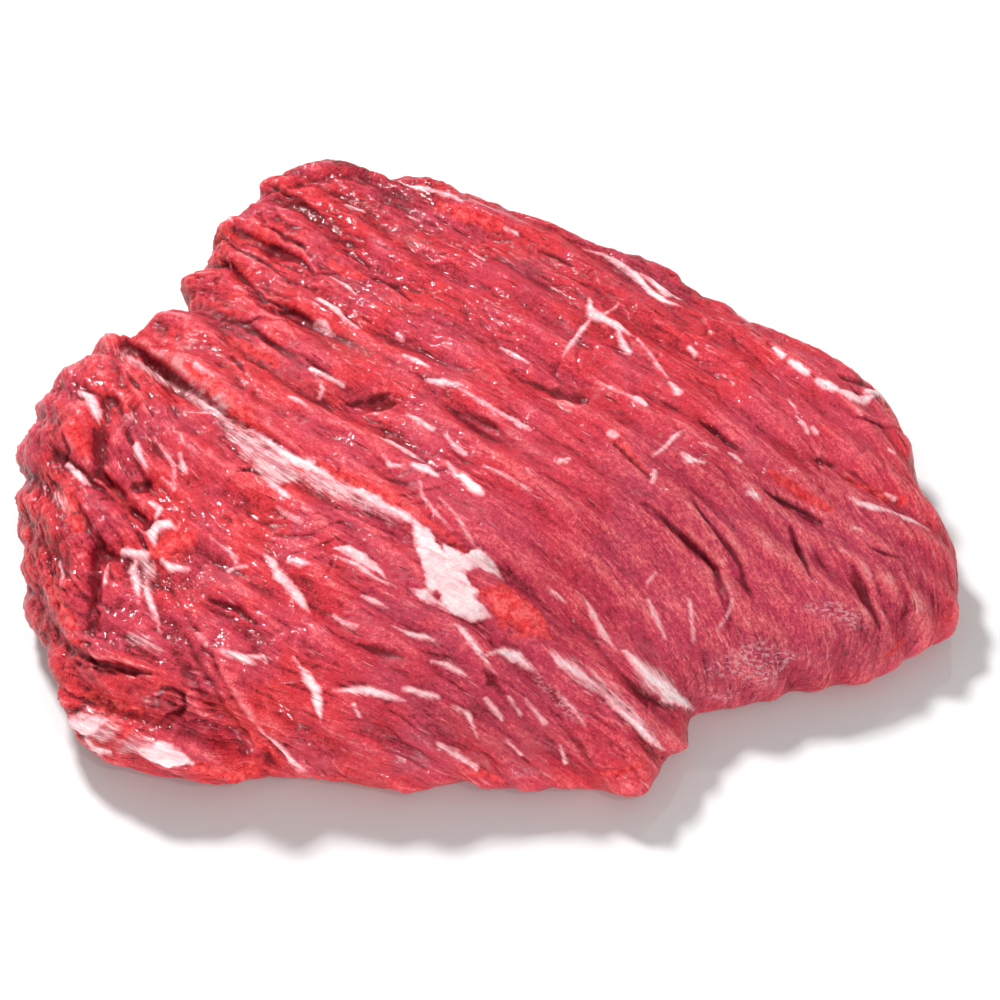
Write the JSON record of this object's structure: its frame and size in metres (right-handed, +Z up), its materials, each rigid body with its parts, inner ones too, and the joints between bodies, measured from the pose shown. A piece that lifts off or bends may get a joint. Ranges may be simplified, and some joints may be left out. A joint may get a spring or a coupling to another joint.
{
  "type": "beef chuck",
  "caption": "Raw boneless slab of beef shoulder: a flat muscle with a rounded lobe along its front, seam fat and marbling, lying on its flat cut face.",
  "frame": {"origin": "centre of the slab's bounding box, on the flat face it lies on", "axes": "+X along the slab from the lobe end to the thin end, +Y from the lobed front to the back, +Z up"},
  "size_m": [0.34, 0.2712, 0.0652],
  "materials": {
    "raw_beef": "moist raw red meat with pale seam fat and marbling"
  },
  "bodies": {
    "root": {"beef_chuck": "raw_beef"}
  },
  "joints": []
}
